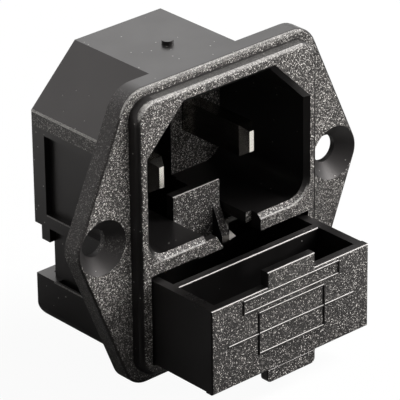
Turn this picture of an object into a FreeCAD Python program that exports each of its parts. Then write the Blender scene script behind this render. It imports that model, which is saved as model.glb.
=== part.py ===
import FreeCAD, Part
import Sketcher
import math
import os
import re

# Power entry module: a two-pole inlet with a fuse drawer below it, screwed to a panel by a lozenge flange.
# Y = 0 is the panel face behind the flange, and the front looks along -Y.
# Z = 0 is the line of the screw holes.

doc = FreeCAD.newDocument("power_entry_module")
sheet = doc.addObject("Spreadsheet::Sheet", "Sizes")

# Every size that can be set by itself, in millimetres (draft in degrees)
sizes = {
    "hole_dia": 3.4,
    "sink_dia": 6.8,
    "hole_land": 0.7,
    "flange_thk": 2.4,
    "flange_foot_out": 0.15,
    "flange_lap": 1.05,
    "flange_toe": 2.45,
    "flange_round": 3.8,
    "flange_foot_round": 3.2,
    "flange_edge": 0.35,
    "tip_reach": 3.95,
    "tip_round": 3.4,
    "bezel_rise": 1.6,
    "bezel_bar": 1.95,
    "bezel_foot": 1.7,
    "bezel_draft": 5.0,
    "bezel_round": 2.6,
    "bezel_edge": 0.7,
    "side_wall": 1.6,
    "inlet_wall": 1.85,
    "top_wall": 2.0,
    "rear_wall": 3.7,
    "shoulder_run": 6.8,
    "shoulder_run_right": 7.8,
    "shoulder_fall": 6.75,
    "recess_top": 14.8,
    "recess_sill": 3.05,
    "recess_cut": 5.3,
    "recess_round": 2.4,
    "lead_in": 0.6,
    "sill_thk": 1.3,
    "crossbar_lip": 0.75,
    "gap_room": 0.9,
    "tooth_width": 1.75,
    "tooth_taper": 1.1,
    "tooth_thk": 0.9,
    "tooth_set_back": 0.25,
    "notch_half": 4.15,
    "notch_top": 8.0,
    "notch_room": 1.0,
    "panel_front": 2.1,
    "panel_rear": 2.15,
    "panel_low": 2.65,
    "panel_high": 7.45,
    "panel_depth": 0.8,
    "side_step": 0.9,
    "wall_end": 2.35,
    "gate_over": 0.4,
    "leg_len": 1.45,
    "leg_lap": 0.3,
    "leg_drop": 1.8,
    "tray_high": 6.1,
    "tray_floor": 0.5,
    "tray_back": 1.2,
    "tray_round": 2.2,
    "groove_lip": 0.3,
    "groove_deep": 1.6,
    "groove_end": 3.6,
    "pip_dia": 1.4,
    "pip_rise": 0.5,
    "pip_back": 6.6,
    "slide_gap": 0.2,
    "fit_gap": 0.05,
    "pulled": 9.1,
    "drawer_head": 0.57,
    "drawer_drop": 16.45,
    "drawer_wall": 1.15,
    "plate_lip": 0.18,
    "plate_thk": 1.1,
    "upper_lip_half": 3.7,
    "upper_lip": 1.9,
    "lower_lip_half": 3.8,
    "lower_lip": 1.7,
    "lip_round": 0.7,
    "plate_edge": 0.2,
    "edge_break": 0.2,
    "spare_len": 5.9,
    "partition": 1.0,
    "fuse_bay": 6.5,
    "rib_run": 1.65,
    "back_thk": 1.2,
    "floor_thk": 1.2,
    "cradle_rise": 2.42,
    "tongue_half": 3.6,
    "tongue_rise": 5.55,
    "tongue_slit": 0.5,
    "tongue_dip": 3.33,
    "rib_width": 1.1,
    "rib_rise": 2.57,
    "rib_toe_dip": 1.13,
    "rib_dip": 1.93,
    "barb_out": 1.1,
    "barb_dip": 0.53,
    "barb_nose_dip": 1.73,
    "barb_thk": 1.1,
    "contact_relief": 0.6,
    "blade_pitch": 14.0,
    "blade_z": 4.3,
    "blade_thk": 2.0,
    "blade_width": 4.0,
    "blade_set_back": 4.0,
    "blade_bevel": 0.67,
    "blade_taper": 1.1,
    "shoulder_thk": 0.8,
    "shoulder_over": 0.7,
    "tab_thk": 0.8,
    "tab_width": 4.8,
    "tab_len": 6.0,
    "tab_hole": 1.3,
    "stub_dia": 1.6,
    "stub_head": 2.8,
    "head_thk": 0.6,
    "contact_out": 0.1,
    "strip_thk": 0.5,
    "strip_width": 4.8,
    "feed_tab_width": 2.8,
    "contact_gap": 0.15,
    "bow_half": 1.0,
    "bow_run": 3.6,
    "bow_tip": 1.2,
    "fuse_dia": 5.2,
    "fuse_len": 20.0,
    "fuse_end_room": 0.95,
    "cap_len": 5.0,
    "cap_wall": 0.25,
    "tube_wall": 0.5,
    "element_dia": 0.4,
    "seat_gap": 0.03,
}

# Places that follow from the sizes: the fuse sets the drawer, the drawer the body, and the body the screws
front = "(flange_thk + bezel_rise)"
drawerHalf = "(fuse_len / 2 + fuse_end_room + drawer_wall)"
channelHalf = "(" + drawerHalf + " + slide_gap)"
bodyHalf = "(" + channelHalf + " + side_wall)"
footHalf = "(" + bodyHalf + " + flange_foot_out)"
screwAt = "(" + bodyHalf + " + sink_dia / 2 + hole_land)"
recessHalf = "(" + bodyHalf + " - inlet_wall)"
bodyTop = "(recess_top + top_wall)"
ceiling = "(recess_sill + sill_thk)"
crossbarLow = "(" + ceiling + " + crossbar_lip)"
drawerTop = "(" + crossbarLow + " + drawer_head)"
channelLow = "(drawer_drop + slide_gap)"
bodyDrop = "(" + channelLow + " + tray_floor)"
trayTop = "(" + bodyDrop + " - tray_high)"
fuseAt = "(spare_len + partition + fuse_bay / 2)"
tongueAt = "(spare_len + partition + fuse_bay + rib_run)"
recessBack = "(" + tongueAt + " - " + front + ")"
bodyDepth = "(" + recessBack + " + rear_wall)"
slotHalf = "(tongue_half + slide_gap)"
cradle = "(drawer_drop - cradle_rise)"
fuseTop = "(" + cradle + " - seat_gap - fuse_dia)"
fuseAxis = "(" + cradle + " - seat_gap - fuse_dia / 2)"
bowAt = "(" + fuseAt + " - " + front + ")"
bowLow = "(" + fuseTop + " - contact_gap)"
blade = "(blade_pitch / 2)"
contact = "(fuse_len / 2 - cap_len / 2 + contact_out)"
gateHalf = "(" + contact + " + strip_width / 2 + gate_over)"

# How far a cutting outline runs past the face it opens, and how near two places count as the same
spill = 1.0
same = 1e-4

# Size of the ring on which a sketch's corners start before their sizes are bound
startRing = 10


def ref(text):
    return re.sub(r"[a-z_]+", lambda word: "Sizes." + word.group(0), str(text))


def bind(item, prop, text):
    item.setExpression(prop, ref(text))


def newBody(label):
    body = doc.addObject("PartDesign::Body", label)
    body.Label = label
    return body


def newSketch(body, plane, name, offset="0"):
    sketch = body.newObject("Sketcher::SketchObject", name)
    support = [item for item in body.Origin.OriginFeatures if item.Role == plane][0]
    sketch.AttachmentSupport = [(support, "")]
    sketch.MapMode = "FlatFace"
    bind(sketch, "AttachmentOffset.Base.z", offset)
    return sketch


def pin(sketch, geometry, point, x, y):
    for kind, text, axis in (("DistanceX", x, -2), ("DistanceY", y, -1)):
        if text == "0":
            sketch.addConstraint(Sketcher.Constraint("PointOnObject", geometry, point, axis))
        else:
            index = sketch.addConstraint(Sketcher.Constraint(kind, geometry, point, 1.0))
            bind(sketch, "Constraints[%d]" % index, text)


def polygon(sketch, corners):
    count = len(corners)
    first = sketch.GeometryCount
    turn = 2 * math.pi / count
    ring = [FreeCAD.Vector(math.cos(turn * i), math.sin(turn * i), 0) * startRing for i in range(count)]
    for i in range(count):
        sketch.addGeometry(Part.LineSegment(ring[i], ring[(i + 1) % count]), False)
    for i in range(count):
        sketch.addConstraint(Sketcher.Constraint("Coincident", first + i, 2, first + (i + 1) % count, 1))
    for i, (x, y) in enumerate(corners):
        pin(sketch, first + i, 1, x, y)


def rectangle(sketch, left, right, low, high):
    polygon(sketch, [(left, low), (right, low), (right, high), (left, high)])


def circle(sketch, x, y, radius):
    shape = Part.Circle(FreeCAD.Vector(1, 1, 0), FreeCAD.Vector(0, 0, 1), 1)
    index = sketch.addGeometry(shape, False)
    pin(sketch, index, 3, x, y)
    size = sketch.addConstraint(Sketcher.Constraint("Radius", index, 1.0))
    bind(sketch, "Constraints[%d]" % size, radius)


def solid(body, kind, name, sketch, length, back=False):
    feature = body.newObject("PartDesign::" + kind, name)
    feature.Profile = sketch
    bind(feature, "Length", length)
    feature.Reversed = back
    sketch.Visibility = False
    return feature


def dress(body, kind, name, base, prop, size, chosen):
    doc.recompute()
    names = ["Edge%d" % (n + 1) for n, edge in enumerate(base.Shape.Edges) if chosen(edge.BoundBox)]
    feature = body.newObject("PartDesign::" + kind, name)
    feature.Base = (base, names)
    bind(feature, prop, size)
    return feature


def near(a, b):
    return abs(a - b) < same


def along(box, axis):
    lengths = {"x": box.XLength, "y": box.YLength, "z": box.ZLength}
    return all(length > same if name == axis else length < same for name, length in lengths.items())


def onPlane(box, y):
    return near(box.YMin, y) and near(box.YMax, y)


def within(box, outer):
    return (box.XMin > outer.XMin - same and box.XMax < outer.XMax + same
            and box.ZMin > outer.ZMin - same and box.ZMax < outer.ZMax + same)


def reach(feature):
    doc.recompute()
    shape = feature.AddSubShape.copy()
    shape.Placement = feature.Placement * shape.Placement
    return shape.BoundBox


for row, (name, value) in enumerate(sizes.items(), 1):
    sheet.set("A%d" % row, name)
    sheet.set("B%d" % row, str(value))
    sheet.setAlias("B%d" % row, name)
doc.recompute()

flangeFront = -sizes["flange_thk"]
bezelFront = flangeFront - sizes["bezel_rise"]

# Housing: bezel, flange and rear block in one moulding
housing = newBody("housing")
outline = newSketch(housing, "XZ_Plane", "bezel_outline", "flange_thk")
rectangle(outline, "-" + bodyHalf, bodyHalf, "-" + channelLow + " - bezel_foot", "recess_top + bezel_bar")
bezel = solid(housing, "Pad", "bezel", outline, "bezel_rise")
bind(bezel, "TaperAngle", "-bezel_draft")
bezelBox = reach(bezel)
corners = dress(housing, "Fillet", "bezel_corners", bezel, "Radius", "bezel_round",
                lambda box: near(box.YMin, bezelFront) and near(box.YMax, flangeFront))
dress(housing, "Fillet", "bezel_front_edge", corners, "Radius", "bezel_edge",
      lambda box: onPlane(box, bezelFront))

outline = newSketch(housing, "XZ_Plane", "flange_outline")
flangeTop = bodyTop + " + flange_lap"
flangeLow = "-" + bodyDrop + " - flange_toe"
polygon(outline, [
    ("-" + bodyHalf, flangeTop),
    (bodyHalf, flangeTop),
    (screwAt + " + tip_reach", "0"),
    (footHalf, flangeLow),
    ("-" + footHalf, flangeLow),
    ("-" + screwAt + " - tip_reach", "0"),
])
flange = solid(housing, "Pad", "flange", outline, "flange_thk")
corners = dress(housing, "Fillet", "flange_corners", flange, "Radius", "flange_round",
                lambda box: along(box, "y") and near(box.YMax, 0) and box.Center.z > 1)
feet = dress(housing, "Fillet", "flange_feet", corners, "Radius", "flange_foot_round",
             lambda box: along(box, "y") and near(box.YMax, 0) and box.Center.z < -1)
tips = dress(housing, "Fillet", "flange_tips", feet, "Radius", "tip_round",
             lambda box: along(box, "y") and near(box.YMax, 0) and near(box.Center.z, 0))
dress(housing, "Fillet", "flange_front_edge", tips, "Radius", "flange_edge",
      lambda box: onPlane(box, flangeFront) and not within(box, bezelBox))

outline = newSketch(housing, "XZ_Plane", "rear_outline")
shoulderFoot = bodyTop + " - shoulder_fall"
polygon(outline, [
    ("shoulder_run - " + bodyHalf, bodyTop),
    (bodyHalf + " - shoulder_run_right", bodyTop),
    (bodyHalf, shoulderFoot),
    (bodyHalf, "-" + bodyDrop),
    ("-" + bodyHalf, "-" + bodyDrop),
    ("-" + bodyHalf, shoulderFoot),
])
rear = solid(housing, "Pad", "rear_block", outline, bodyDepth, True)
rearBox = reach(rear)
dress(housing, "Fillet", "tray_rounding", rear, "Radius", "tray_round",
      lambda box: near(box.ZMin, rearBox.ZMin) and near(box.ZMax, rearBox.ZMin) and box.YMin > -same
      and (along(box, "y") or near(box.YMin, rearBox.YMax)))

# Side steps between the upper block and the tray, and the open corners beside the back wall
cut = newSketch(housing, "XZ_Plane", "side_step_cut")
stepIn = bodyHalf + " - side_step"
stepOut = bodyHalf + " + %g" % spill
rectangle(cut, stepIn, stepOut, "-" + trayTop, "-" + ceiling)
rectangle(cut, "-" + bodyHalf + " - %g" % spill, "side_step - " + bodyHalf, "-" + trayTop, "-" + ceiling)
solid(housing, "Pocket", "side_steps", cut, bodyDepth)

cut = newSketch(housing, "XZ_Plane", "open_corner_cut", "wall_end - " + bodyDepth)
rectangle(cut, gateHalf, bodyHalf, "-" + trayTop, "-" + ceiling)
rectangle(cut, "-" + bodyHalf, "-" + gateHalf, "-" + trayTop, "-" + ceiling)
solid(housing, "Pocket", "open_corners", cut, "wall_end + %g" % spill)

outline = newSketch(housing, "XZ_Plane", "leg_outline", "wall_end + leg_lap - " + bodyDepth)
legLow = "-" + ceiling + " - leg_drop"
rectangle(outline, stepIn, bodyHalf, legLow, "-" + ceiling)
rectangle(outline, "-" + bodyHalf, "side_step - " + bodyHalf, legLow, "-" + ceiling)
solid(housing, "Pad", "rear_legs", outline, "leg_len", True)

# Drawer channel, lower through the bezel and flange than behind the crossbar
cut = newSketch(housing, "XZ_Plane", "channel_cut", front)
rectangle(cut, "-" + channelHalf, channelHalf, "-" + channelLow, "-" + crossbarLow)
solid(housing, "Pocket", "channel", cut, front + " + " + bodyDepth + " - tray_back")
cut = newSketch(housing, "XZ_Plane", "headroom_cut", "flange_thk")
rectangle(cut, "-" + channelHalf, channelHalf, "-" + crossbarLow + " - %g" % spill, "-" + ceiling)
solid(housing, "Pocket", "headroom", cut, "flange_thk + " + bodyDepth + " - tray_back")

# Inlet recess with cut upper corners, round lower corners and a lead-in round the mouth
cut = newSketch(housing, "XZ_Plane", "recess_cut_outline", front)
polygon(cut, [
    ("recess_cut - " + recessHalf, "recess_top"),
    (recessHalf + " - recess_cut", "recess_top"),
    (recessHalf, "recess_top - recess_cut"),
    (recessHalf, "-recess_sill"),
    ("-" + recessHalf, "-recess_sill"),
    ("-" + recessHalf, "recess_top - recess_cut"),
])
recess = solid(housing, "Pocket", "inlet_recess", cut, front + " + " + recessBack)
mouthBox = reach(recess)
rounded = dress(housing, "Fillet", "recess_corners", recess, "Radius", "recess_round",
                lambda box: along(box, "y") and near(box.ZMin, mouthBox.ZMin) and near(box.YMin, bezelFront))
dress(housing, "Chamfer", "recess_lead_in", rounded, "Size", "lead_in",
      lambda box: onPlane(box, bezelFront) and within(box, mouthBox))

# Gap in the crossbar, slot in the sill and notch in the recess floor for the interlock tongue
cut = newSketch(housing, "XZ_Plane", "gap_cut", front)
rectangle(cut, "-" + slotHalf, slotHalf + " + gap_room",
          "-" + crossbarLow + " - %g" % spill, "-recess_sill + %g" % spill)
solid(housing, "Pocket", "crossbar_gap", cut, "bezel_rise")
cut = newSketch(housing, "XZ_Plane", "slot_cut", "flange_thk + %g" % spill)
rectangle(cut, "-" + slotHalf, slotHalf, "-" + ceiling + " - %g" % spill, "-recess_sill + %g" % spill)
solid(housing, "Pocket", "sill_slot", cut, "flange_thk + %g + " % spill + recessBack)
cut = newSketch(housing, "XZ_Plane", "notch_cut", "%g - " % spill + recessBack)
rectangle(cut, "-notch_half", "notch_half", "-" + ceiling + " - %g" % spill, "notch_top")
solid(housing, "Pocket", "tongue_notch", cut, "back_thk + notch_room + %g" % spill)

# Stop tooth at one side of the gap, which the tongue's rib meets when the drawer is drawn out
outline = newSketch(housing, "XZ_Plane", "tooth_outline", front + " - tooth_set_back")
polygon(outline, [
    ("-" + slotHalf + " - %g" % spill, "-recess_sill - lead_in"),
    ("tooth_width - " + slotHalf, "-recess_sill - lead_in"),
    ("tooth_width + tooth_taper - " + slotHalf, "-" + drawerTop + " + slide_gap"),
    ("-" + slotHalf + " - %g" % spill, "-" + drawerTop + " + slide_gap"),
])
solid(housing, "Pad", "stop_tooth", outline, "tooth_thk", True)

# Slots for the blades and for the contact strips
cut = newSketch(housing, "XZ_Plane", "blade_slot_cut", "-" + recessBack)
for side in ("-", ""):
    middle = side + blade
    rectangle(cut, middle + " - blade_thk / 2 - fit_gap", middle + " + blade_thk / 2 + fit_gap",
              "blade_z - blade_width / 2 - fit_gap", "blade_z + blade_width / 2 + fit_gap")
solid(housing, "Pocket", "blade_slots", cut, "rear_wall + %g" % spill)
cut = newSketch(housing, "XZ_Plane", "strip_slot_cut", "tray_back + %g - " % spill + bodyDepth)
for side in ("-", ""):
    middle = side + contact
    rectangle(cut, middle + " - strip_width / 2 - fit_gap", middle + " + strip_width / 2 + fit_gap",
              "-" + ceiling + " - strip_thk - fit_gap", "-" + ceiling)
solid(housing, "Pocket", "strip_slots", cut, "tray_back + %g" % (2 * spill))

# Sunk panels on both sides of the rear block
for name, side, back in (("right_panel", "", False), ("left_panel", "-", True)):
    cut = newSketch(housing, "YZ_Plane", name + "_cut", side + bodyHalf)
    rectangle(cut, "panel_front", bodyDepth + " - panel_rear", "-panel_low", "panel_high")
    solid(housing, "Pocket", name, cut, "panel_depth", back)

# Narrow grooves in the top of the tray walls
cut = newSketch(housing, "XY_Plane", "groove_cut", "-" + trayTop)
grooveIn = bodyHalf + " - side_step"
grooveOut = bodyHalf + " - groove_lip"
rectangle(cut, grooveIn, grooveOut, "panel_front", bodyDepth + " - groove_end")
rectangle(cut, "-(" + grooveOut + ")", "-(" + grooveIn + ")", "panel_front", bodyDepth + " - groove_end")
solid(housing, "Pocket", "tray_grooves", cut, "groove_deep")

# Small pip on top of the rear block
outline = newSketch(housing, "XY_Plane", "pip_outline", bodyTop)
circle(outline, "0", "pip_back", "pip_dia / 2")
solid(housing, "Pad", "pip", outline, "pip_rise")

# Countersunk screw holes
cut = newSketch(housing, "XZ_Plane", "screw_hole_places", "flange_thk")
circle(cut, screwAt, "0", "hole_dia / 2")
circle(cut, "-" + screwAt, "0", "hole_dia / 2")
doc.recompute()
holes = housing.newObject("PartDesign::Hole", "screw_holes")
holes.Profile = cut
holes.DepthType = "ThroughAll"
holes.HoleCutType = "Countersink"
holes.HoleCutCustomValues = True
holes.HoleCutCountersinkAngle = 90
bind(holes, "Diameter", "hole_dia")
bind(holes, "HoleCutDiameter", "sink_dia")

# Fuse drawer, measured from the back of its front plate
drawer = newBody("fuse_drawer")
bind(drawer, "Placement.Base.y", "-" + front + " - pulled")
plateHalf = "(" + drawerHalf + " + plate_lip)"
outline = newSketch(drawer, "XZ_Plane", "plate_outline")
polygon(outline, [
    ("-" + plateHalf, "-" + drawerTop),
    ("-upper_lip_half", "-" + drawerTop),
    ("-upper_lip_half", "-" + drawerTop + " + upper_lip"),
    ("upper_lip_half", "-" + drawerTop + " + upper_lip"),
    ("upper_lip_half", "-" + drawerTop),
    (plateHalf, "-" + drawerTop),
    (plateHalf, "-drawer_drop"),
    ("lower_lip_half", "-drawer_drop"),
    ("lower_lip_half", "-drawer_drop - lower_lip"),
    ("-lower_lip_half", "-drawer_drop - lower_lip"),
    ("-lower_lip_half", "-drawer_drop"),
    ("-" + plateHalf, "-drawer_drop"),
])
plate = solid(drawer, "Pad", "front_plate", outline, "plate_thk")
plateBox = reach(plate)
lip = dress(drawer, "Fillet", "lip_corners", plate, "Radius", "lip_round",
            lambda box: along(box, "y") and near(box.ZMin, plateBox.ZMin))
dress(drawer, "Fillet", "plate_front_edge", lip, "Radius", "plate_edge",
      lambda box: onPlane(box, plateBox.YMin))
outline = newSketch(drawer, "XZ_Plane", "box_outline")
rectangle(outline, "-" + drawerHalf, drawerHalf, "-drawer_drop", "-" + drawerTop)
solid(drawer, "Pad", "drawer_box", outline, tongueAt + " + back_thk", True)

innerHalf = "(" + drawerHalf + " - drawer_wall)"
cut = newSketch(drawer, "XY_Plane", "spare_bay_cut", "-" + drawerTop)
polygon(cut, [
    ("-" + innerHalf, "0"),
    (innerHalf, "0"),
    (innerHalf, "spare_len"),
    ("-" + innerHalf, "spare_len"),
])
spare = solid(drawer, "Pocket", "spare_bay", cut, "drawer_drop - " + drawerTop + " - floor_thk")
cut = newSketch(drawer, "XY_Plane", "live_bay_cut", "-" + drawerTop)
rectangle(cut, "-" + innerHalf, innerHalf, "spare_len + partition", tongueAt)
solid(drawer, "Pocket", "live_bay", cut, cradle + " - " + drawerTop)
cut = newSketch(drawer, "XY_Plane", "underside_cut", "-drawer_drop")
rectangle(cut, "-" + innerHalf, innerHalf, "spare_len + partition", tongueAt)
solid(drawer, "Pocket", "underside", cut, "cradle_rise - floor_thk", True)

# Passes through the back wall for the fuse contacts
cut = newSketch(drawer, "XZ_Plane", "contact_pass_cut", "-" + tongueAt)
for side in ("-", ""):
    middle = side + contact
    rectangle(cut, middle + " - strip_width / 2 - slide_gap", middle + " + strip_width / 2 + slide_gap",
              "-" + fuseTop + " - contact_relief", "-" + drawerTop + " + %g" % spill)
solid(drawer, "Pocket", "contact_passes", cut, "back_thk + %g" % spill)

# Interlock tongue with slits beside it, gusset ribs and barbs
outline = newSketch(drawer, "XZ_Plane", "tongue_outline", "-" + tongueAt)
tongueRoot = "-" + drawerTop + " - tongue_dip"
rectangle(outline, "-tongue_half", "tongue_half", tongueRoot, "-" + drawerTop + " + tongue_rise")
tongue = solid(drawer, "Pad", "tongue", outline, "back_thk", True)
cut = newSketch(drawer, "XZ_Plane", "tongue_slit_cut", "-" + tongueAt)
slitTop = "-" + drawerTop + " + %g" % spill
rectangle(cut, "tongue_half", "tongue_half + tongue_slit", tongueRoot, slitTop)
rectangle(cut, "-tongue_half - tongue_slit", "-tongue_half", tongueRoot, slitTop)
solid(drawer, "Pocket", "tongue_slits", cut, "back_thk + %g" % spill)
for name, offset in (("right_rib", "tongue_half - rib_width"), ("left_rib", "-tongue_half")):
    outline = newSketch(drawer, "YZ_Plane", name + "_outline", offset)
    polygon(outline, [
        (tongueAt, "-" + drawerTop + " + rib_rise"),
        (tongueAt + " - rib_run", "-" + drawerTop + " - rib_toe_dip"),
        (tongueAt + " - rib_run", "-" + drawerTop + " - rib_dip"),
        (tongueAt, "-" + drawerTop + " - rib_dip"),
    ])
    solid(drawer, "Pad", name, outline, "rib_width")
outline = newSketch(drawer, "XZ_Plane", "barb_outline", "rib_run - " + tongueAt)
for side, out in (("", " + barb_out"), ("-", " - barb_out")):
    edge = side + "tongue_half"
    polygon(outline, [
        (edge, "-" + drawerTop + " - barb_dip"),
        (edge + out, "-" + drawerTop + " - barb_nose_dip"),
        (edge, "-" + drawerTop + " - rib_dip"),
    ])
barbs = solid(drawer, "Pad", "barbs", outline, "barb_thk", True)

# Broken front edges on top of the partition and of the tongue
spareBox = reach(spare)
tongueBox = reach(tongue)
dress(drawer, "Fillet", "broken_edges", barbs, "Radius", "edge_break",
      lambda box: along(box, "x")
      and ((near(box.YMin, spareBox.YMax) and near(box.ZMin, spareBox.ZMax))
           or (near(box.YMin, tongueBox.YMin) and near(box.ZMin, tongueBox.ZMax))))


# Inlet blades, each with a bevelled tip
def bladeFront(label, side):
    body = newBody(label)
    tip = front + " - blade_set_back"
    sections = []
    for name, inset, offset in (("tip", "blade_bevel", tip), ("shaft", "0", tip + " - blade_taper")):
        sketch = newSketch(body, "XZ_Plane", label + "_" + name, offset)
        middle = side + blade
        rectangle(sketch, middle + " - blade_thk / 2 + " + inset, middle + " + blade_thk / 2 - " + inset,
                  "blade_z - blade_width / 2 + " + inset, "blade_z + blade_width / 2 - " + inset)
        sections.append(sketch)
    loft = body.newObject("PartDesign::AdditiveLoft", label + "_bevel")
    loft.Profile = sections[0]
    loft.Sections = [sections[1]]
    solid(body, "Pad", label + "_length", sections[1], tip + " - blade_taper + " + bodyDepth, True)
    return body


line = bladeFront("line_blade", "")
outline = newSketch(line, "XZ_Plane", "stub_outline", "-" + bodyDepth)
circle(outline, blade, "blade_z", "stub_dia / 2")
solid(line, "Pad", "stub", outline, "strip_thk", True)
outline = newSketch(line, "XZ_Plane", "head_outline", "-" + bodyDepth + " - strip_thk")
circle(outline, blade, "blade_z", "stub_head / 2")
solid(line, "Pad", "head", outline, "head_thk", True)

neutral = bladeFront("neutral_blade", "-")
outline = newSketch(neutral, "XZ_Plane", "shoulder_outline", "-" + bodyDepth)
rectangle(outline, "-" + blade + " - blade_thk / 2", "-" + blade + " + blade_thk / 2",
          "blade_z - blade_width / 2 - shoulder_over", "blade_z + blade_width / 2 + shoulder_over")
solid(neutral, "Pad", "shoulder", outline, "shoulder_thk", True)
outline = newSketch(neutral, "XZ_Plane", "tab_outline", "-" + bodyDepth + " - shoulder_thk")
rectangle(outline, "-" + blade + " - tab_thk / 2", "-" + blade + " + tab_thk / 2",
          "blade_z - tab_width / 2", "blade_z + tab_width / 2")
solid(neutral, "Pad", "tab", outline, "tab_len", True)
cut = newSketch(neutral, "YZ_Plane", "tab_hole_cut", "-" + blade + " + tab_thk / 2")
circle(cut, bodyDepth + " + shoulder_thk + tab_len - tab_hole * 1.5", "blade_z", "tab_hole / 2")
solid(neutral, "Pocket", "tab_hole_pocket", cut, "tab_thk")

# Fuse contacts: strips under the sill that bow down onto the closed drawer's fuse
bowUnder = [
    (bowAt + " + bow_half + bow_run - strip_thk / 4", "-" + ceiling + " - strip_thk"),
    (bowAt + " + bow_half", "-" + bowLow),
    (bowAt + " - bow_half", "-" + bowLow),
    (bowAt + " - bow_half - bow_tip", "-" + bowLow + " + bow_tip * 0.8"),
]
bowOver = [
    (bowAt + " - bow_half - bow_tip + strip_thk / 2", "-" + bowLow + " + bow_tip * 0.8 + strip_thk"),
    (bowAt + " - bow_half + strip_thk / 4", "-" + bowLow + " + strip_thk"),
    (bowAt + " + bow_half - strip_thk / 4", "-" + bowLow + " + strip_thk"),
    (bowAt + " + bow_half + bow_run", "-" + ceiling),
]

feed = newBody("feed_terminal")
outline = newSketch(feed, "YZ_Plane", "feed_profile", "-" + contact + " - strip_width / 2")
feedEnd = [(bodyDepth, "-" + ceiling), (bodyDepth, "-" + ceiling + " - strip_thk")]
polygon(outline, feedEnd + bowUnder + bowOver)
solid(feed, "Pad", "feed_strip", outline, "strip_width")
outline = newSketch(feed, "XY_Plane", "feed_tab_outline", "-" + ceiling)
feedIn = "-" + contact + " + strip_width / 2"
rectangle(outline, feedIn + " - feed_tab_width", feedIn, bodyDepth, bodyDepth + " + tab_len")
solid(feed, "Pad", "feed_tab", outline, "strip_thk", True)
cut = newSketch(feed, "XY_Plane", "feed_hole_cut", "-" + ceiling)
circle(cut, feedIn + " - feed_tab_width / 2", bodyDepth + " + tab_len - tab_hole * 1.5", "tab_hole / 2")
solid(feed, "Pocket", "feed_hole", cut, "strip_thk")

link = newBody("line_link")
outline = newSketch(link, "YZ_Plane", "link_profile", contact + " - strip_width / 2")
linkBack = bodyDepth + " + strip_thk"
linkEnd = [(linkBack, "-" + ceiling), (linkBack, "-" + ceiling + " - strip_thk")]
polygon(outline, linkEnd + bowUnder + bowOver)
solid(link, "Pad", "link_strip", outline, "strip_width")
outline = newSketch(link, "XZ_Plane", "riser_outline", "-" + bodyDepth)
rectangle(outline, blade + " - strip_width / 2", contact + " + strip_width / 2",
          "-" + ceiling + " - strip_thk", "blade_z + stub_head")
solid(link, "Pad", "link_riser", outline, "strip_thk", True)
cut = newSketch(link, "XZ_Plane", "link_hole_cut", "-" + bodyDepth)
circle(cut, blade, "blade_z", "stub_dia / 2 + fit_gap")
solid(link, "Pocket", "link_hole", cut, "strip_thk")


# Glass fuse lying across the live bay
def fusePiece(label):
    body = newBody(label)
    bind(body, "Placement.Base.y", fuseAt + " - " + front + " - pulled")
    bind(body, "Placement.Base.z", "-" + fuseAxis)
    return body


def turned(body, corners):
    sketch = newSketch(body, "XZ_Plane", body.Label + "_profile")
    polygon(sketch, corners)
    feature = body.newObject("PartDesign::Revolution", body.Label + "_turned")
    feature.Profile = sketch
    feature.ReferenceAxis = (sketch, ["H_Axis"])
    feature.Angle = 360
    sketch.Visibility = False
    return feature


capIn = "fuse_dia / 2 - cap_wall"
tubeOut = capIn + " - fit_gap"
tubeEnd = "fuse_len / 2 - cap_wall"
for label, side in (("fuse_cap_left", "-"), ("fuse_cap_right", "")):
    mouthAt = side + "(fuse_len / 2 - cap_len)"
    wallAt = side + "(fuse_len / 2 - cap_wall)"
    endAt = side + "(fuse_len / 2)"
    turned(fusePiece(label), [
        (mouthAt, capIn),
        (mouthAt, "fuse_dia / 2"),
        (endAt, "fuse_dia / 2"),
        (endAt, "0"),
        (wallAt, "0"),
        (wallAt, capIn),
    ])
turned(fusePiece("fuse_tube"), [
    ("-(" + tubeEnd + ")", tubeOut),
    (tubeEnd, tubeOut),
    (tubeEnd, tubeOut + " - tube_wall"),
    ("-(" + tubeEnd + ")", tubeOut + " - tube_wall"),
])
element = fusePiece("fuse_element")
outline = newSketch(element, "YZ_Plane", "element_outline", "-(" + tubeEnd + ")")
circle(outline, "0", "0", "element_dia / 2")
solid(element, "Pad", "element_wire", outline, "2 * (" + tubeEnd + ")")

doc.recompute()
bodies = [item for item in doc.Objects if item.isDerivedFrom("PartDesign::Body")]
for item in doc.Objects:
    if "Invalid" in item.State or "Error" in item.State:
        raise RuntimeError("does not build: " + item.Label)
os.makedirs("parts", exist_ok=True)
for body in bodies:
    shape = body.Shape
    if shape.isNull() or not shape.isValid() or len(shape.Solids) != 1:
        raise RuntimeError("not one valid solid: " + body.Label)
    shape.exportStep("parts/" + body.Label + ".step")
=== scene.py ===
import math

import bpy
from mathutils import Matrix, Vector


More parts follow.
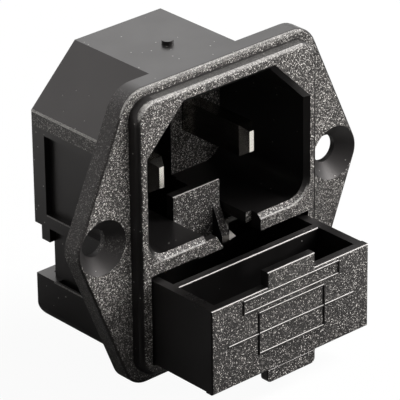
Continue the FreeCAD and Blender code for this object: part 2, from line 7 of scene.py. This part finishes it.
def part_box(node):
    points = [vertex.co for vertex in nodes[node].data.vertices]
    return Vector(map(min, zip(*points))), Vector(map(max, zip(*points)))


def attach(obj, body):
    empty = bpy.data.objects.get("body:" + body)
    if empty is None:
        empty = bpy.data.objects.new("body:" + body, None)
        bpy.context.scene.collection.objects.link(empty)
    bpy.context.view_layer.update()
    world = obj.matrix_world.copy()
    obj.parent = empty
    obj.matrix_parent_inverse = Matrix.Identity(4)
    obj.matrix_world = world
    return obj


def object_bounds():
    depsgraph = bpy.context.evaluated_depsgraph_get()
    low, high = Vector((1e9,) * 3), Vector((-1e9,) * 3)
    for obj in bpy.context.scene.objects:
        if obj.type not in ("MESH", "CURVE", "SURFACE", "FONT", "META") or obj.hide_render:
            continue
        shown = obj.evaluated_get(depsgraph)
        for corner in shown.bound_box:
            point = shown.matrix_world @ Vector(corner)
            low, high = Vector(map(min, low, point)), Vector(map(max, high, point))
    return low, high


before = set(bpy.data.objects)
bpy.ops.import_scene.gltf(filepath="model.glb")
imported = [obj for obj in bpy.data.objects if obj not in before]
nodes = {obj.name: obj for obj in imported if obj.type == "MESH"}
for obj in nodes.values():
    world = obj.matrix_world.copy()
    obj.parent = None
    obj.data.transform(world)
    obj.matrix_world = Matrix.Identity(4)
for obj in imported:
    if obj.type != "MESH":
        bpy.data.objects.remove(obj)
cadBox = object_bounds()
scene = bpy.context.scene
mmPerMetre = 1000.0
print("frame loaded:", len(nodes), "nodes")


def linear(hexColour):
    parts = [int(hexColour[i:i + 2], 16) / 255 for i in (1, 3, 5)]
    return tuple(p / 12.92 if p < 0.04045 else ((p + 0.055) / 1.055) ** 2.4 for p in parts) + (1.0,)


# one helper adds a node, sets its properties and sockets, and makes its links
def addNode(tree, kind, props=None, sockets=None, links=None):
    node = tree.nodes.new(kind)
    for name, value in (props or {}).items():
        setattr(node, name, value)
    for name, value in (sockets or {}).items():
        node.inputs[name].default_value = value
    for name, source in (links or {}).items():
        tree.links.new(source, node.inputs[name])
    return node


def newMaterial(name):
    material = bpy.data.materials.new(name)
    material.use_nodes = True
    tree = material.node_tree
    tree.nodes.clear()
    output = addNode(tree, "ShaderNodeOutputMaterial")
    return material, tree, output


def setRamp(ramp, stops):
    elements = ramp.color_ramp.elements
    while len(elements) < len(stops):
        elements.new(0.5)
    for element, (place, colour) in zip(elements, stops):
        element.position = place
        element.color = linear(colour)


def dress(node, material):
    for slot in nodes[node].material_slots:
        slot.material = material


# camera at the photograph's angle, a long lens about 0.41 m away
cameraSettings = {
    "azimuth": 41.771,
    "elevation": 26.397,
    "roll": -0.688,
    "distance": 0.413108,
    "aim": (0, 0.0005, 0),
    "sensor": 36,
    "lens": 320.43,
    "clip": 0.01,
    "shift": (-0.01158, -0.02201),
}


def makeCamera(settings):
    az = math.radians(settings["azimuth"])
    el = math.radians(settings["elevation"])
    roll = math.radians(settings["roll"])
    back = Vector((-math.sin(az) * math.cos(el), -math.cos(az) * math.cos(el), math.sin(el)))
    right = Vector((math.cos(az), -math.sin(az), 0))
    up = back.cross(right)
    across = right * math.cos(roll) + up * math.sin(roll)
    upward = up * math.cos(roll) - right * math.sin(roll)
    data = bpy.data.cameras.new("photoCamera")
    data.sensor_width = settings["sensor"]
    data.lens = settings["lens"]
    data.shift_x, data.shift_y = settings["shift"]
    data.clip_start = settings["clip"]
    camera = bpy.data.objects.new("photoCamera", data)
    turn = Matrix((across, upward, back)).transposed().to_4x4()
    camera.matrix_world = Matrix.Translation(Vector(settings["aim"]) + back * settings["distance"]) @ turn
    scene.collection.objects.link(camera)
    scene.camera = camera


makeCamera(cameraSettings)
print("camera placed")


# a soft box at the right rakes the front and casts the shadow left, a panel stands behind, and two small
# lamps stand in front and at the front right; all aim at the origin
lampSettings = {
    "rightBox": {"place": (0.65, -0.25, 0.57), "size": (0.45, 0.45), "power": 13.0},
    "backPanel": {"place": (0.15, 0.9, 0.6), "size": (1.6, 0.5), "power": 3.15},
    "frontLamp": {"place": (0.134, -0.758, 0.221), "size": (0.1, 0.1), "power": 0.7},
    "frontRightLamp": {"place": (0.47, -0.6, 0.2), "size": (0.12, 0.12), "power": 2.25},
}


def makeLamps(settings):
    for name, lamp in settings.items():
        data = bpy.data.lights.new(name, "AREA")
        data.shape = "RECTANGLE"
        data.size, data.size_y = lamp["size"]
        data.energy = lamp["power"]
        place = Vector(lamp["place"])
        box = bpy.data.objects.new(name, data)
        box.location = place
        box.rotation_euler = (-place).to_track_quat("-Z", "Y").to_euler()
        scene.collection.objects.link(box)


makeLamps(lampSettings)

stageSettings = {
    "floorDrop": 0.0006,
    "reach": 3.0,
    "white": "#ffffff",
    "pale": "#ececea",
    "airGrey": "#3c3c3c",
    "floorShares": (0.95, 0.04),
    "airShares": (1.0, 0.9),
    "cardBlack": "#0c0c0c",
    "cardGrey": "#9a9a9a",
    "cardPale": "#a2a2a2",
    "cardRise": 0.0002,
    "cardFloor": {
        "frontCard": ("cardBlack", [(-0.012, -0.0142), (-0.075, 0.034), (-0.16, -0.07), (-0.085, -0.13),
                                    (0.002, -0.05), (0.014, -0.036), (0.022, -0.03), (0.022, -0.0142)]),
        "leftCard": ("cardGrey", [(-0.012, -0.0142), (-0.008, 0.03), (-0.03, 0.05), (-0.04, 0.03),
                                  (-0.034, 0.0026)]),
        "sideCard": ("cardPale", [(-0.034, 0.0026), (-0.04, 0.03), (-0.03, 0.05), (-0.045, 0.068),
                                  (-0.058, 0.055), (-0.056, 0.0195)]),
        "rightCard": ("cardBlack", [(0.026, -0.022), (0.05, -0.03), (0.058, -0.06), (0.15, -0.09),
                                    (0.15, 0.12), (0.03, 0.03)]),
    },
    "cardStanding": {
        "frontStandingCard": ([(-0.46, -0.17), (-0.17, -0.46)], 0.13),
        "earStandingCard": ([(0.019, 0.004), (0.09, 0.004)], 0.03),
    },
}


# how much of the white background a ray meets: the first share for the eye and through glass,
# the second in gloss
def backgroundShare(tree, shares):
    path = addNode(tree, "ShaderNodeLightPath")
    straight = addNode(tree, "ShaderNodeMath", {"operation": "MAXIMUM"},
                       links={0: path.outputs["Is Camera Ray"], 1: path.outputs["Is Transmission Ray"]})
    eye = addNode(tree, "ShaderNodeMath", {"operation": "MULTIPLY"}, {1: shares[0]},
                  {0: straight.outputs[0]})
    gloss = addNode(tree, "ShaderNodeMath", {"operation": "MULTIPLY"}, {1: shares[1]},
                    {0: path.outputs["Is Glossy Ray"]})
    share = addNode(tree, "ShaderNodeMath", {"operation": "MAXIMUM"},
                    links={0: eye.outputs[0], 1: gloss.outputs[0]})
    return share.outputs[0]


def addSheet(name, corners, material):
    mesh = bpy.data.meshes.new(name)
    mesh.from_pydata(corners, [], [tuple(range(len(corners)))])
    mesh.materials.append(material)
    sheet = bpy.data.objects.new(name, mesh)
    scene.collection.objects.link(sheet)
    return sheet


# a pale painted floor that keeps the object's shadow, and grey air round it
def makeStage(settings):
    material, tree, output = newMaterial("paleStudioFloor")
    paint = addNode(tree, "ShaderNodeBsdfDiffuse", sockets={"Color": linear(settings["pale"])})
    glow = addNode(tree, "ShaderNodeEmission", sockets={"Color": linear(settings["white"])})
    mix = addNode(tree, "ShaderNodeMixShader",
                  links={0: backgroundShare(tree, settings["floorShares"]), 1: paint.outputs[0],
                         2: glow.outputs[0]})
    tree.links.new(mix.outputs[0], output.inputs["Surface"])
    reach = settings["reach"]
    low = cadBox[0][2] - settings["floorDrop"]
    square = [(-reach, -reach, low), (reach, -reach, low), (reach, reach, low), (-reach, reach, low)]
    addSheet("floor", square, material)
    # black and grey paper cards, seen in gloss only, darken what the edges and the lower sides reflect,
    # and the standing ones what the front and the drawer's rim do
    paper = {}
    for name in ("cardBlack", "cardGrey", "cardPale"):
        paper[name], tree, output = newMaterial(name)
        paint = addNode(tree, "ShaderNodeBsdfDiffuse", sockets={"Color": linear(settings[name])})
        tree.links.new(paint.outputs[0], output.inputs["Surface"])
    rise = low + settings["cardRise"]
    cards = [addSheet(name, [(x, y, rise) for x, y in corners], paper[shade])
             for name, (shade, corners) in settings["cardFloor"].items()]
    for name, (ends, height) in settings["cardStanding"].items():
        corners = [(x, y, low) for x, y in ends] + [(x, y, low + height) for x, y in reversed(ends)]
        cards.append(addSheet(name, corners, paper["cardBlack"]))
    for card in cards:
        card.visible_camera = False
        card.visible_diffuse = False
        card.visible_shadow = False
    world = bpy.data.worlds.new("studioAir")
    world.use_nodes = True
    scene.world = world
    tree = world.node_tree
    tree.nodes.clear()
    output = addNode(tree, "ShaderNodeOutputWorld")
    air = addNode(tree, "ShaderNodeBackground", sockets={"Color": linear(settings["airGrey"])})
    white = addNode(tree, "ShaderNodeBackground", sockets={"Color": linear(settings["white"])})
    mix = addNode(tree, "ShaderNodeMixShader",
                  links={0: backgroundShare(tree, settings["airShares"]), 1: air.outputs[0],
                         2: white.outputs[0]})
    tree.links.new(mix.outputs[0], output.inputs["Surface"])


makeStage(stageSettings)
print("lamps and floor made")


# glass-filled nylon, moulded: spark-eroded faces glint with fine grains, the rest is a smooth satin black;
# grains and pits are drawn near the size of a pixel, coarser than spark erosion leaves them, so they show
nylonSettings = {
    "housing": {
        "grainMm": 0.1,
        "pitMm": 0.12,
        "grainColours": [(0.0, "#020202"), (0.35, "#0f0e0e"), (0.6, "#33312f"), (0.78, "#605d5a"),
                         (0.9, "#a29e9a"), (1.0, "#f2eee8")],
        "relief": 0.9,
        "highlightShare": 0.85,
        "highlightGrain": 0.8,
    },
    "drawer": {
        "grainMm": 0.09,
        "pitMm": 0.12,
        "grainColours": [(0.0, "#040404"), (0.35, "#100f0f"), (0.65, "#242322"), (0.82, "#3c3b39"),
                         (0.92, "#75716e"), (1.0, "#ece7e1")],
        "relief": 0.9,
        "highlightShare": 0.8,
        "highlightGrain": 0.35,
    },
}
smoothSettings = {
    "flowMm": 7.0,
    "flowDetail": 3.0,
    "colours": [(0.3, "#0e0d0d"), (0.7, "#131212")],
    "rough": 0.32,
    "sway": 0.2,
    "ior": 1.5,
    "gloss": "#fff8f6",
}
grainRough = 0.55
pitDepthMm = 0.1
# the tongue's grain: stronger and darker than the drawer's, partly a painted shade where the tongue sits
# inside the housing's mouth
tongueShadeColours = [(0.0, "#010101"), (0.5, "#060606"), (0.76, "#222120"), (0.89, "#6e6a67"), (1.0, "#fffcf6")]
# painted highlight: a light colour mixed in on edges that face the lamps
highlightPaintColour = "#c4c1bd"
dustSettings = {"spacingMm": 1.0, "speckMm": 0.09, "share": 0.4, "colour": "#84827e"}

# zones in millimetres: a face in the box counts the more, the nearer its normal comes to the direction given
drawerLow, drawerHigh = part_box("fuse_drawer")
tongueSetback = 1.2
plateFace = drawerLow[1] * mmPerMetre
tongueFace = drawerHigh[1] * mmPerMetre - tongueSetback
recessFloor = 11.05
shoulderEdge = 10.05
far = 30
turned = (0.86, 0.95)
tight = (0.96, 0.995)
edgeTurn = (0.5, 0.7)
anyTurn = (-2, -1.5)
frontward = (0, -1, 0)
frontUp = (0, -1, 0.35)
leftUp = (-1, 0, 0.3)
upperEdge = {"toward": (0, -0.66, 0.75), "turn": (0.92, 0.995)}
roundEdge = {"toward": (-0.25, -0.66, 0.71), "turn": (0.86, 0.98)}
everywhere = {"low": (-far, -far, -far), "high": (far, far, far)}
# painted shade: the flange's grain fades into the smooth black towards its foot, and sooner on the right, so
# the lower flange is darker: from, to and share
footShadeSteps = [(-6, far, 1.0), (-8, -6, 0.92), (-10, -8, 0.82), (-12, -10, 0.7), (-14, -12, 0.58),
              (-16, -14, 0.48), (-far, -16, 0.4)]
rightShadeSteps = [(0, far, 1.0), (-1.5, 0, 0.9), (-3, -1.5, 0.78), (-far, -3, 0.66)]
# the front of flange and bezel in three strips: left, right, direction, turn and shade steps
leftStrip, rightStrip = -14.3, 12.9
frontStrips = [
    (leftStrip, rightStrip, frontUp, turned, footShadeSteps),
    (-far, leftStrip, frontward, turned, footShadeSteps),
    (rightStrip, far, frontward, tight, rightShadeSteps),
]
# eroded faces carry the grain, tongue faces a stronger and darker one that is partly a painted shade,
# highlight zones a painted highlight in a light colour, and dull ones are smooth but matt; a share above 1
# fills a painted highlight more fully
zoneSettings = {
    "housing": {
        "eroded": [
            *[{"low": (left, -8, bottom), "high": (right, -1, top), "toward": toward, "turn": turn,
               "share": share}
              for left, right, toward, turn, steps in frontStrips for bottom, top, share in steps],
            {"low": (-13, recessFloor - 0.3, -3.2), "high": (13, recessFloor + 0.3, 16), "toward": frontward,
             "turn": turned},
            {"low": (-far, -2.4, -far), "high": (-10, 0, far), "toward": leftUp, "turn": (0.6, 0.9),
             "share": 0.3},
            {"low": (-14.2, 0, 8.2), "high": (-13.6, 15, shoulderEdge), "toward": (-1, 0, 0),
             "turn": (0.9, 0.95), "share": 0.5},
        ],
        # painted highlights: a light colour laid on edges whose normals face the right lamp, along the top,
        # the shoulder and the crossbar
        "paintedHighlight": [
            {"low": (-15, -8, 5), "high": (14.3, -0.5, far), **roundEdge},
            {"low": (-15, -8, 10), "high": (-9, -0.5, far), "toward": (-0.5, -0.6, 0.62),
             "turn": (0.86, 0.97), "share": 1.7},
            {"low": (-12.5, -2.6, 17.28), "high": (14.3, -2.2, 17.8), "toward": (0, -1, 0.2),
             "turn": (0.8, 0.95), "share": 0.6},
            {"low": (-11, -3.6, 16.4), "high": (12, -2.75, 17), "toward": (0, -0.09, 1),
             "turn": (0.97, 0.995), "share": 0.2},
            {"low": (-14.1, 0.2, shoulderEdge - 0.2), "high": (-13.8, 14.7, shoulderEdge + 0.1),
             "toward": leftUp, "turn": edgeTurn, "share": 1.8},
            {"low": (-14.1, 8.1, -2.88), "high": (-13.8, 12.5, -2.6), "toward": leftUp,
             "turn": edgeTurn, "share": 0.4},
            {"low": (-14.1, 6, -11.3), "high": (-13.8, 11.6, -11.0), "toward": leftUp,
             "turn": edgeTurn, "share": 0.5},
            {"low": (-12, -4.1, -3.74), "high": (-3.95, -3.86, -3.52), "toward": frontUp, "turn": edgeTurn},
            {"low": (4.7, -4.1, -3.74), "high": (10.6, -3.86, -3.52), "toward": frontUp, "turn": edgeTurn},
            {"low": (9.8, -4.1, -3.6), "high": (13, -3.8, -1.2), "toward": (-0.42, -0.7, 0.58),
             "turn": (0.9, 0.97)},
        ],
        "dull": [
            {"low": (-21.7, -8, -3.7), "high": (-14.4, 1, 3.7), "toward": frontward, "turn": anyTurn},
            {"low": (14.4, -8, -3.7), "high": (21.7, 1, 3.7), "toward": frontward, "turn": anyTurn},
        ],
    },
    "drawer": {
        "eroded": [
            {"low": (-far, plateFace - 1, -far), "high": (far, plateFace + 0.6, 0), "toward": frontward,
             "turn": turned},
            {"low": (-5, plateFace + 5, -5.6), "high": (5, far, 5), "toward": frontward, "turn": turned},
            {"low": (-5, tongueFace - 0.3, -7.7), "high": (2.35, tongueFace + 0.3, -5.6), "toward": frontward,
             "turn": turned, "share": 0.5},
            {"low": (2.3, tongueFace - 2, -6.8), "high": (3.62, tongueFace, 0), "toward": frontUp,
             "turn": (0.6, 0.8)},
        ],
        # painted shade: the tongue inside the mouth takes the stronger, darker grain
        "tongueShade": [{"low": (-5, plateFace + 5, -8), "high": (5, far, 5), "toward": frontward, "turn": turned}],
        # painted highlights on the drawer's upper edges and on the front of the barb
        "paintedHighlight": [
            {**everywhere, **upperEdge},
            {"low": (3.62, tongueFace - 2, -7.7), "high": (5, tongueFace, -5.9), "toward": frontward,
             "turn": turned, "share": 1.8},
        ],
    },
    # painted highlights on the upper faces of the sign's ribs
    "sign": {"paintedHighlight": [{**everywhere, **upperEdge}]},
}


def zoneMask(tree, zones, place, where):
    mask = addNode(tree, "ShaderNodeValue").outputs[0]
    mask.default_value = 0.0
    for zone in zones:
        facing = addNode(tree, "ShaderNodeVectorMath", {"operation": "DOT_PRODUCT"}, {1: zone["toward"]},
                         {0: place.outputs["Normal"]})
        start, full = zone["turn"]
        inside = addNode(tree, "ShaderNodeMapRange", {"interpolation_type": "SMOOTHSTEP"},
                         {"From Min": start, "From Max": full, "To Max": zone.get("share", 1.0)},
                         {"Value": facing.outputs["Value"]}).outputs[0]
        for axis, low, high in zip("XYZ", zone["low"], zone["high"]):
            test = addNode(tree, "ShaderNodeMath", {"operation": "COMPARE"},
                           {1: (low + high) / 2, 2: (high - low) / 2}, {0: where.outputs[axis]})
            inside = addNode(tree, "ShaderNodeMath", {"operation": "MULTIPLY"},
                             links={0: inside, 1: test.outputs[0]}).outputs[0]
        mask = addNode(tree, "ShaderNodeMath", {"operation": "MAXIMUM"},
                       links={0: mask, 1: inside}).outputs[0]
    return mask


def makeNylon(name, settings, zones):
    material, tree, output = newMaterial(name)
    place = addNode(tree, "ShaderNodeTexCoord")
    inMm = addNode(tree, "ShaderNodeVectorMath", {"operation": "SCALE"}, {"Scale": mmPerMetre},
                   {0: place.outputs["Object"]})
    where = addNode(tree, "ShaderNodeSeparateXYZ", links={0: inMm.outputs[0]})
    eroded, tongueShade, paintedHighlight, dull = [zoneMask(tree, zoneSettings[zones].get(kind, []), place, where)
                                     for kind in ("eroded", "tongueShade", "paintedHighlight", "dull")]
    grains = addNode(tree, "ShaderNodeTexVoronoi", {"feature": "F1"}, {"Scale": 1 / settings["grainMm"]},
                     {"Vector": inMm.outputs[0]})
    glint = addNode(tree, "ShaderNodeSeparateColor", links={0: grains.outputs["Color"]})
    grainRamp = addNode(tree, "ShaderNodeValToRGB", links={0: glint.outputs[0]})
    setRamp(grainRamp, settings["grainColours"])
    # the tongue's darker grain, partly a painted shade
    tongueShadeRamp = addNode(tree, "ShaderNodeValToRGB", links={0: glint.outputs[0]})
    setRamp(tongueShadeRamp, tongueShadeColours)
    grain = addNode(tree, "ShaderNodeMix", {"data_type": "RGBA"},
                    links={"Factor": tongueShade, 6: grainRamp.outputs[0], 7: tongueShadeRamp.outputs[0]})
    flow = addNode(tree, "ShaderNodeTexNoise",
                   sockets={"Scale": 1 / smoothSettings["flowMm"], "Detail": smoothSettings["flowDetail"]},
                   links={"Vector": inMm.outputs[0]})
    smoothRamp = addNode(tree, "ShaderNodeValToRGB", links={0: flow.outputs["Fac"]})
    setRamp(smoothRamp, smoothSettings["colours"])
    # a few specks of dust lie on the smooth faces
    dust = addNode(tree, "ShaderNodeTexVoronoi", {"feature": "F1"}, {"Scale": 1 / dustSettings["spacingMm"]},
                   {"Vector": inMm.outputs[0]})
    chance = addNode(tree, "ShaderNodeSeparateColor", links={0: dust.outputs["Color"]})
    chosen = addNode(tree, "ShaderNodeMath", {"operation": "LESS_THAN"}, {1: dustSettings["share"]},
                     {0: chance.outputs[0]})
    close = addNode(tree, "ShaderNodeMath", {"operation": "LESS_THAN"},
                    {1: dustSettings["speckMm"] / dustSettings["spacingMm"]}, {0: dust.outputs["Distance"]})
    speck = addNode(tree, "ShaderNodeMath", {"operation": "MULTIPLY"},
                    links={0: chosen.outputs[0], 1: close.outputs[0]})
    dusty = addNode(tree, "ShaderNodeMix", {"data_type": "RGBA"}, {7: linear(dustSettings["colour"])},
                    {"Factor": speck.outputs[0], 6: smoothRamp.outputs[0]})
    body = addNode(tree, "ShaderNodeMix", {"data_type": "RGBA"},
                   links={"Factor": eroded, 6: dusty.outputs[2], 7: grain.outputs[2]})
    # painted highlight: the light edge colour is mixed in where a highlight zone lies, broken up by the grain
    speckle = addNode(tree, "ShaderNodeMapRange",
                      sockets={"To Min": settings["highlightShare"] * (1 - settings["highlightGrain"]),
                               "To Max": settings["highlightShare"]},
                      links={"Value": glint.outputs[0]})
    edge = addNode(tree, "ShaderNodeMath", {"operation": "MULTIPLY"},
                   links={0: paintedHighlight, 1: speckle.outputs[0]})
    colour = addNode(tree, "ShaderNodeMix", {"data_type": "RGBA"}, {7: linear(highlightPaintColour)},
                     {"Factor": edge.outputs[0], 6: body.outputs[2]})
    matt = addNode(tree, "ShaderNodeMath", {"operation": "MAXIMUM"}, links={0: eroded, 1: dull})
    rough = addNode(tree, "ShaderNodeMapRange",
                    sockets={"To Min": smoothSettings["rough"], "To Max": grainRough},
                    links={"Value": matt.outputs[0]})
    # the polish of the mould varies a little from place to place
    polish = addNode(tree, "ShaderNodeMapRange",
                     sockets={"To Min": -smoothSettings["sway"] / 2, "To Max": smoothSettings["sway"] / 2},
                     links={"Value": flow.outputs["Fac"]})
    uneven = addNode(tree, "ShaderNodeMath", {"operation": "ADD"},
                     links={0: rough.outputs[0], 1: polish.outputs[0]})
    pits = addNode(tree, "ShaderNodeTexNoise", sockets={"Scale": 1 / settings["pitMm"]},
                   links={"Vector": inMm.outputs[0]})
    relief = addNode(tree, "ShaderNodeMath", {"operation": "MULTIPLY"},
                     links={0: pits.outputs["Fac"], 1: eroded})
    bump = addNode(tree, "ShaderNodeBump",
                   sockets={"Strength": settings["relief"], "Distance": pitDepthMm / mmPerMetre},
                   links={"Height": relief.outputs[0]})
    shader = addNode(tree, "ShaderNodeBsdfPrincipled",
                     sockets={"IOR": smoothSettings["ior"], "Specular Tint": linear(smoothSettings["gloss"])},
                     links={"Base Color": colour.outputs[2], "Roughness": uneven.outputs[0],
                            "Normal": bump.outputs[0]})
    tree.links.new(shader.outputs[0], output.inputs["Surface"])
    return material


dress("housing", makeNylon("nylonSparkErodedHousing", nylonSettings["housing"], "housing"))
dress("fuse_drawer", makeNylon("nylonSparkErodedDrawer", nylonSettings["drawer"], "drawer"))
print("nylon made")


# plated metals: blade flanks darker in colour than the front tips, a painted shade, bright fuse caps, greyer
# tinned strips and coppery wire, each with draw lines, drawn coarser than real ones so that they show
metalSettings = {
    "nickelBladeShadedFlanks": {"light": "#e4e1db", "dark": "#bdb8ae", "rough": 0.16, "lineMm": (0.12, 4.0, 0.12),
                         "flankShade": 0.45},
    "nickelPlatedBrass": {"light": "#e4e1db", "dark": "#bdb8ae", "rough": 0.24, "lineMm": (0.12, 4.0, 0.12),
                          "flankShade": 1.0},
    "tinPlatedStrip": {"light": "#8f8e8a", "dark": "#6f6d69", "rough": 0.38, "lineMm": (0.15, 5.0, 0.15),
                       "flankShade": 1.0},
    "drawnFuseWire": {"light": "#c8a58a", "dark": "#9a7355", "rough": 0.35, "lineMm": (3.0, 0.08, 0.08),
                      "flankShade": 1.0},
}
drawSettings = {"detail": 3.0, "stops": (0.3, 0.7), "smoother": 0.06, "rougher": 0.08, "relief": 0.15,
                "depthMm": 0.02}


# noise drawn out along the lines that the drawing or rolling left
def drawnStreaks(tree, place, lineMm, detail):
    lines = addNode(tree, "ShaderNodeMapping", sockets={"Scale": tuple(mmPerMetre / mm for mm in lineMm)},
                    links={"Vector": place.outputs["Object"]})
    streak = addNode(tree, "ShaderNodeTexNoise", sockets={"Scale": 1.0, "Detail": detail},
                     links={"Vector": lines.outputs[0]})
    return streak.outputs["Fac"]


def makeMetal(name, settings):
    material, tree, output = newMaterial(name)
    place = addNode(tree, "ShaderNodeTexCoord")
    streak = drawnStreaks(tree, place, settings["lineMm"], drawSettings["detail"])
    ramp = addNode(tree, "ShaderNodeValToRGB", links={0: streak})
    setRamp(ramp, list(zip(drawSettings["stops"], (settings["dark"], settings["light"]))))
    # painted shade: faces turned away from the front take a darker colour, by the flank shade factor
    facing = addNode(tree, "ShaderNodeVectorMath", {"operation": "DOT_PRODUCT"}, {1: frontward},
                     {0: place.outputs["Normal"]})
    flankShading = addNode(tree, "ShaderNodeMapRange", {"interpolation_type": "SMOOTHSTEP"},
                    {"From Min": turned[0], "From Max": turned[1], "To Min": settings["flankShade"]},
                    {"Value": facing.outputs["Value"]})
    colour = addNode(tree, "ShaderNodeMix", {"data_type": "RGBA", "blend_type": "MULTIPLY"}, {"Factor": 1.0},
                     {6: ramp.outputs[0], 7: flankShading.outputs[0]})
    rough = addNode(tree, "ShaderNodeMapRange",
                    sockets={"To Min": settings["rough"] - drawSettings["smoother"],
                             "To Max": settings["rough"] + drawSettings["rougher"]},
                    links={"Value": streak})
    bump = addNode(tree, "ShaderNodeBump",
                   sockets={"Strength": drawSettings["relief"],
                            "Distance": drawSettings["depthMm"] / mmPerMetre},
                   links={"Height": streak})
    shader = addNode(tree, "ShaderNodeBsdfPrincipled", sockets={"Metallic": 1.0},
                     links={"Base Color": colour.outputs[2], "Roughness": rough.outputs[0],
                            "Normal": bump.outputs[0]})
    tree.links.new(shader.outputs[0], output.inputs["Surface"])
    return material


metals = {name: makeMetal(name, settings) for name, settings in metalSettings.items()}
for node in ("line_blade", "neutral_blade"):
    dress(node, metals["nickelBladeShadedFlanks"])
for node in ("fuse_cap_left", "fuse_cap_right"):
    dress(node, metals["nickelPlatedBrass"])
for node in ("feed_terminal", "line_link"):
    dress(node, metals["tinPlatedStrip"])
dress("fuse_element", metals["drawnFuseWire"])

# drawn glass tube, clear with faint draw lines along its length, coarser than real ones so that they show
glassSettings = {"tint": "#eef3f1", "ior": 1.5, "lineMm": (6.0, 0.5, 0.5), "detail": 1.0,
                 "rough": (0.01, 0.06)}


def makeGlass(name, settings):
    material, tree, output = newMaterial(name)
    place = addNode(tree, "ShaderNodeTexCoord")
    streak = drawnStreaks(tree, place, settings["lineMm"], settings["detail"])
    clear, hazy = settings["rough"]
    rough = addNode(tree, "ShaderNodeMapRange", sockets={"To Min": clear, "To Max": hazy},
                    links={"Value": streak})
    shader = addNode(tree, "ShaderNodeBsdfPrincipled",
                     sockets={"IOR": settings["ior"], "Transmission Weight": 1.0,
                              "Base Color": linear(settings["tint"])},
                     links={"Roughness": rough.outputs[0]})
    tree.links.new(shader.outputs[0], output.inputs["Surface"])
    return material


dress("fuse_tube", makeGlass("drawnGlass", glassSettings))
print("metals and glass made")


# raised fuse sign and the bare label frame on the drawer's front plate: roof-shaped ribs in millimetres
signSettings = {
    "ribHeight": 0.2,
    "faceY": plateFace,
    "fuseWidth": 10.2,
    "fuseHeight": 5.25,
    "fuseZ": -11.04,
    "wireHalf": 9.8,
    "wireZ": -11.08,
    "labelWidth": 14.9,
    "labelHeight": 1.6,
    "labelZ": -6.95,
    "tabHalf": 3.7,
    "tabZ": -16.45,
    "tabScale": 0.35,
}


# paths of the sign drawn as curves, each straight run swept with the same four-sided rib,
# half of it in the plate
def signTree(settings, material):
    tree = bpy.data.node_groups.new("signRibs", "GeometryNodeTree")
    tree.interface.new_socket("Geometry", in_out="OUTPUT", socket_type="NodeSocketGeometry")
    for name in settings:
        tree.interface.new_socket(name, in_out="INPUT", socket_type="NodeSocketFloat")
    given = addNode(tree, "NodeGroupInput").outputs
    rib = addNode(tree, "GeometryNodeCurvePrimitiveCircle", {"mode": "RADIUS"}, {"Resolution": 4},
                  {"Radius": given["ribHeight"]})
    joined = addNode(tree, "GeometryNodeJoinGeometry")

    def sweep(path, scale):
        swept = addNode(tree, "GeometryNodeCurveToMesh", sockets={"Fill Caps": True},
                        links={"Curve": path, "Profile Curve": rib.outputs["Curve"], **scale})
        tree.links.new(swept.outputs[0], joined.inputs[0])

    for name in ("fuse", "label"):
        frameCurve = addNode(tree, "GeometryNodeCurvePrimitiveQuadrilateral", {"mode": "RECTANGLE"},
                             links={"Width": given[name + "Width"], "Height": given[name + "Height"]})
        spot = addNode(tree, "ShaderNodeCombineXYZ", links={"Y": given["faceY"], "Z": given[name + "Z"]})
        moved = addNode(tree, "GeometryNodeTransform", sockets={"Rotation": (math.pi / 2, 0, 0)},
                        links={"Geometry": frameCurve.outputs["Curve"], "Translation": spot.outputs[0]})
        edges = addNode(tree, "GeometryNodeCurveToMesh", links={"Curve": moved.outputs[0]})
        apart = addNode(tree, "GeometryNodeSplitEdges", links={"Mesh": edges.outputs[0]})
        runs = addNode(tree, "GeometryNodeMeshToCurve", links={"Mesh": apart.outputs[0]})
        sweep(runs.outputs[0], {})
    for name, scale in (("wire", {}), ("tab", {"Scale": given["tabScale"]})):
        left = addNode(tree, "ShaderNodeMath", {"operation": "MULTIPLY"}, {1: -1.0},
                       {0: given[name + "Half"]})
        start = addNode(tree, "ShaderNodeCombineXYZ",
                        links={"X": left.outputs[0], "Y": given["faceY"], "Z": given[name + "Z"]})
        end = addNode(tree, "ShaderNodeCombineXYZ",
                      links={"X": given[name + "Half"], "Y": given["faceY"], "Z": given[name + "Z"]})
        line = addNode(tree, "GeometryNodeCurvePrimitiveLine", {"mode": "POINTS"},
                       links={"Start": start.outputs[0], "End": end.outputs[0]})
        sweep(line.outputs[0], scale)
    real = addNode(tree, "GeometryNodeRealizeInstances", links={"Geometry": joined.outputs[0]})
    metres = addNode(tree, "GeometryNodeTransform", sockets={"Scale": (1 / mmPerMetre,) * 3},
                     links={"Geometry": real.outputs[0]})
    painted = addNode(tree, "GeometryNodeSetMaterial", sockets={"Material": material},
                      links={"Geometry": metres.outputs[0]})
    addNode(tree, "NodeGroupOutput", links={"Geometry": painted.outputs[0]})
    return tree


# smooth black ribs whose upper faces catch the light and also carry a painted highlight
def makeSign(settings):
    material = makeNylon("nylonSmoothRibs", nylonSettings["drawer"], "sign")
    tree = signTree(settings, material)
    holder = bpy.data.objects.new("signHolder", bpy.data.meshes.new("signHolder"))
    scene.collection.objects.link(holder)
    modifier = holder.modifiers.new("ribs", "NODES")
    modifier.node_group = tree
    for item in tree.interface.items_tree:
        if item.in_out == "INPUT":
            modifier[item.identifier] = settings[item.name]
    ready = holder.evaluated_get(bpy.context.evaluated_depsgraph_get())
    mesh = bpy.data.meshes.new_from_object(ready)
    bpy.data.objects.remove(holder)
    sign = bpy.data.objects.new("drawer_sign", mesh)
    scene.collection.objects.link(sign)
    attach(sign, "drawer")


makeSign(signSettings)
print("drawer sign made")

scene.view_settings.view_transform = "Standard"
print("scene finished")
